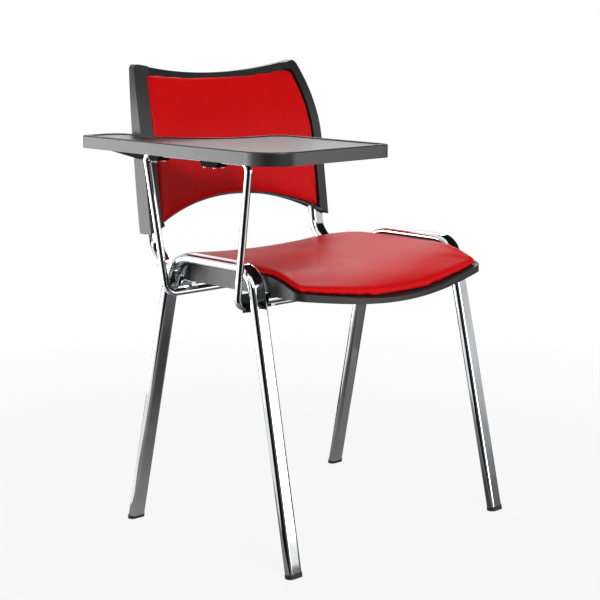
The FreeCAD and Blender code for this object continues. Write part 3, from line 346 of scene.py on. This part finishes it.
def pad_blank(name, node, facing):
    """A copy of the CAD pad, remeshed evenly and drawn in a little on its padded side."""
    mesh = frame["nodes"][node].data.copy()
    piece = bpy.data.objects.new(name, mesh)
    scene.collection.objects.link(piece)
    shape = bmesh.new()
    shape.from_mesh(mesh)
    bmesh.ops.remove_doubles(shape, verts=shape.verts, dist=MERGE)
    shape.to_mesh(mesh)
    shape.free()
    remesh = piece.modifiers.new("even_mesh", "REMESH")
    remesh.mode = "VOXEL"
    remesh.voxel_size = VOXEL
    fit = piece.modifiers.new("fit", "SHRINKWRAP")
    fit.target = frame["nodes"][node]
    fit.wrap_method = "NEAREST_SURFACEPOINT"
    apply_modifiers(piece)
    shape = bmesh.new()
    shape.from_mesh(piece.data)
    shape.normal_update()
    for vertex in shape.verts:
        if vertex.normal.dot(facing) > PADDED:
            vertex.co -= vertex.normal * SHRINK
    for _ in range(SMOOTHINGS):
        bmesh.ops.smooth_vert(
            shape, verts=shape.verts, factor=SMOOTHING,
            use_axis_x=True, use_axis_y=True, use_axis_z=True,
        )
    shape.to_mesh(piece.data)
    shape.free()
    return piece


def swell(piece, facing):
    """Blows the pad up as cloth under pressure, its back and rim held, and caps the rise."""
    start = points_of(piece.data)
    held = piece.vertex_groups.new(name="held")
    back = [
        vertex.index for vertex in piece.data.vertices if vertex.normal.dot(facing) < HELD
    ]
    held.add(back, 1.0, "REPLACE")
    cloth = piece.modifiers.new("swell", "CLOTH")
    cloth.settings.use_pressure = True
    cloth.settings.uniform_pressure_force = PRESSURE
    cloth.settings.effector_weights.gravity = 0.0
    cloth.settings.vertex_group_mass = "held"
    cloth.point_cache.frame_end = FRAMES
    for step in range(1, FRAMES + 1):
        scene.frame_set(step)
    graph = bpy.context.evaluated_depsgraph_get()
    moved = points_of(piece.evaluated_get(graph).data) - start
    reach = np.linalg.norm(moved, axis=1).max()
    moved *= min(1.0, SWELL / max(reach, TINY))
    piece.modifiers.clear()
    piece.vertex_groups.clear()
    piece.data.vertices.foreach_set("co", (start + moved).astype(np.float32).ravel())
    piece.data.update()
    scene.frame_set(1)


def upholstered(name, node, facing):
    """The padded piece that stands for a CAD pad."""
    piece = pad_blank(name, node, Vector(facing))
    swell(piece, Vector(facing))
    smooth = piece.modifiers.new("smooth", "SUBSURF")
    smooth.levels = SUBDIVISIONS
    smooth.render_levels = SUBDIVISIONS
    apply_modifiers(piece)
    for face in piece.data.polygons:
        face.use_smooth = True
    finish_piece(piece, finishes["red_leatherette"])
    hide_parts(node)
    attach(piece, "chair")


upholstered("seat_cushion", "seat_pad", (0, 0, 1))
upholstered("back_cushion", "back_pad", (0, -1, 0))


# Studio: a white floor and world, cards that only reflections see, and soft boxes
CHAIR_MIDDLE = Vector((0.0, 0.0, 0.45))
CARD_STEPS = 32
# Cards that lie down are layers just under the chair's soles, and the floor is under them all
FIRST, SECOND, THIRD, FOURTH, FLOOR = -0.3 * MM, -0.4 * MM, -0.6 * MM, -0.8 * MM, -1.0 * MM
FLOOR_RADIUS = 20.0
FLOOR_GREY = 0.6  # what lights the chair from below and takes its shadow
FADE_FROM, FADE_TO = 0.5, 1.8  # between these radii the floor turns to plain white
FADE_LEAST = 0.86  # share of plain white in the floor under the chair
SHADE_FROM, SHADE_TO = 0.1, 0.55  # between these radii a shaded card changes its tone
WORLD_FILL = 0.22  # strength of the world's light on matt surfaces


def swept_card(name, start, end, profile):
    """A card swept about Z from one bearing to another; its profile is in radius and height."""
    mesh = bpy.data.meshes.new(name)
    shape = bmesh.new()
    points = [shape.verts.new((radius, 0.0, height)) for radius, height in profile]
    lines = [shape.edges.new(pair) for pair in zip(points, points[1:])]
    bmesh.ops.rotate(
        shape, verts=points, cent=(0, 0, 0), matrix=Matrix.Rotation(math.radians(start), 3, "Z")
    )
    bmesh.ops.spin(
        shape, geom=points + lines, cent=(0, 0, 0), axis=(0, 0, 1),
        angle=math.radians(end - start), steps=CARD_STEPS,
    )
    shape.to_mesh(mesh)
    shape.free()
    piece = bpy.data.objects.new(name, mesh)
    scene.collection.objects.link(piece)
    return piece


def seen_rays(tree):
    """1 on camera, glossy and transmission rays, so that mirrors show the same white."""
    rays = add(tree, "ShaderNodeLightPath")
    looked = add(
        tree, "ShaderNodeMath",
        {0: rays.outputs["Is Camera Ray"], 1: rays.outputs["Is Glossy Ray"]}, operation="MAXIMUM",
    )
    through = add(
        tree, "ShaderNodeMath",
        {0: looked.outputs["Value"], 1: rays.outputs["Is Transmission Ray"]}, operation="MAXIMUM",
    )
    return through.outputs["Value"]


def floor_material():
    """White to the eye and to mirrors, matt grey to all other light, with the chair's shadow."""
    material = bpy.data.materials.new("white_studio_floor")
    tree = empty_tree(material)
    matt = add(tree, "ShaderNodeBsdfDiffuse", {"Color": grey(FLOOR_GREY)})
    white = add(tree, "ShaderNodeEmission", {"Color": grey(1.0), "Strength": 1.0})
    place = add(tree, "ShaderNodeTexCoord").outputs["Object"]
    away = add(tree, "ShaderNodeVectorMath", {0: place}, operation="LENGTH")
    fade = add(
        tree, "ShaderNodeMapRange",
        {
            "Value": away.outputs["Value"], "From Min": FADE_FROM, "From Max": FADE_TO,
            "To Min": FADE_LEAST, "To Max": 1.0,
        },
    )
    lift = add(
        tree, "ShaderNodeMath", {0: seen_rays(tree), 1: fade.outputs["Result"]},
        operation="MULTIPLY",
    )
    mix = add(
        tree, "ShaderNodeMixShader",
        {"Fac": lift.outputs["Value"], 1: matt.outputs["BSDF"], 2: white.outputs["Emission"]},
    )
    add(tree, "ShaderNodeOutputMaterial", {"Surface": mix.outputs["Shader"]})
    return material


def card_material(name, tone, strength=1.0, edge=None, centre=None):
    """A card of one tone, or of one that changes to an edge tone away from a centre."""
    material = bpy.data.materials.new(name)
    tree = empty_tree(material)
    glow = add(tree, "ShaderNodeEmission", {"Color": linear(tone), "Strength": strength})
    add(tree, "ShaderNodeOutputMaterial", {"Surface": glow.outputs["Emission"]})
    if edge:
        place = add(tree, "ShaderNodeTexCoord").outputs["Object"]
        away = add(tree, "ShaderNodeVectorMath", {0: place, 1: centre}, operation="DISTANCE")
        shade = add(tree, "ShaderNodeValToRGB", {"Fac": away.outputs["Value"]})
        ramp(shade, [(SHADE_FROM, linear(tone)), (SHADE_TO, linear(edge))])
        tree.links.new(shade.outputs["Color"], glow.inputs["Color"])
    return material


floor = swept_card("studio_floor", 0, 360, [(0.0, FLOOR), (FLOOR_RADIUS, FLOOR)])
floor.data.materials.append(floor_material())

black_card = card_material("black_studio_card", "#161617")
dim_card = card_material("dim_floor_card", "#3A3939")
# Slate: the walls and floor ahead, and the painted floor shade to the right
slate_card = card_material("slate_floor_card", "#666565")
pale_card = card_material("pale_floor_card", "#FFFFFF")
# Painted reflection: a card that glows eight times the floor's white, though it is no lamp, seen
# only in mirrors
painted_glow_card = card_material("painted_reflection_glow", "#FFFFFF", strength=8.0)
# Painted shadow: the chair's shadow on the floor as mirrors see it, darkest under the seat and
# paler outwards
painted_shadow_card = card_material(
    "painted_floor_shadow_card", "#464444", edge="#8A8888", centre=(0.12, -0.2, 0.0)
)
grey_card = card_material(
    "grey_studio_card", "#5E5E5E", edge="#D2D2D2", centre=(2.45, -2.12, -0.1)
)

# Each card's name, material, first and last bearing in degrees, and profile
cards = [
    ("card_before", black_card, -172, -110, [(0.5, THIRD), (3.9, THIRD), (3.9, 2.0)]),
    ("card_toe", slate_card, -110, -84, [(0.5, THIRD), (3.9, THIRD)]),
    ("card_ahead", slate_card, -110, -74, [(3.9, 0.0), (3.9, 2.0)]),
    ("card_behind", dim_card, -10, 104, [(0.6, FOURTH), (6.0, FOURTH)]),
    # card_below is the painted shadow under the chair, seen only in reflections
    ("card_below", painted_shadow_card, 0, 360, [(0.0, SECOND), (0.6, SECOND)]),
    ("card_above", black_card, -70, 60, [(3.4, 1.75), (1.4, 3.6)]),
    # card_left is the glowing painted reflection that lightens the shells' left faces
    ("card_left", painted_glow_card, 112, 152, [(1.5, FIRST), (3.3, FIRST)]),
    ("card_heel", pale_card, 108, 152, [(0.42, FIRST), (1.5, FIRST)]),
    ("card_beside", grey_card, -46, -14, [(3.3, 0.0), (3.3, 2.4)]),
    # card_right is painted floor shade beyond the right rear leg, seen only in reflections
    ("card_right", slate_card, -46, -10, [(0.6, FOURTH), (3.3, FOURTH)]),
]
for name, material, first, last, profile in cards:
    card = swept_card(name, first, last, profile)
    card.data.materials.append(material)
    card.visible_camera = False
    card.visible_diffuse = False
    card.visible_transmission = False
    card.visible_shadow = False

world = bpy.data.worlds.new("white_studio")
scene.world = world
tree = empty_tree(world)
level = add(
    tree, "ShaderNodeMapRange", {"Value": seen_rays(tree), "To Min": WORLD_FILL, "To Max": 1.0}
)
sky = add(tree, "ShaderNodeBackground", {"Color": grey(1.0), "Strength": level.outputs["Result"]})
add(tree, "ShaderNodeOutputWorld", {"Surface": sky.outputs["Background"]})

# Each soft box's name, width and height, watts, place, and whether mirrors show it
soft_boxes = [
    ("key_box", (1.0, 0.7), 48.0, (-0.8, -2.2, 1.65), True),
    ("top_box", (1.6, 1.6), 18.0, (0.5, 0.9, 2.4), False),
    ("back_box", (1.8, 0.7), 21.0, (1.9, 2.0, 2.0), True),
    ("left_box", (1.4, 1.0), 34.0, (-2.1, 2.5, 0.55), True),
    ("right_box", (1.2, 1.6), 23.0, (1.8, -2.87, 0.7), True),
]
for name, (width, height), watts, place, mirrored in soft_boxes:
    lamp = bpy.data.lights.new(name, "AREA")
    lamp.shape = "RECTANGLE"
    lamp.size = width
    lamp.size_y = height
    lamp.energy = watts
    box = bpy.data.objects.new(name, lamp)
    box.location = place
    box.rotation_euler = (CHAIR_MIDDLE - Vector(place)).to_track_quat("-Z", "Y").to_euler()
    box.visible_camera = False
    box.visible_glossy = mirrored
    scene.collection.objects.link(box)

# Camera where the photograph's was, from a fit to the legs, feet and rails
camera = bpy.data.cameras.new("camera")
camera.lens = 92.87
camera.sensor_width = 36.0
camera.clip_start = 0.1
camera.clip_end = 100.0
viewer = bpy.data.objects.new("camera", camera)
viewer.location = (-1.8327, -1.8997, 0.8814)
viewer.rotation_euler = (math.radians(79.365), 0.0, math.radians(-43.328))
scene.collection.objects.link(viewer)
scene.camera = viewer
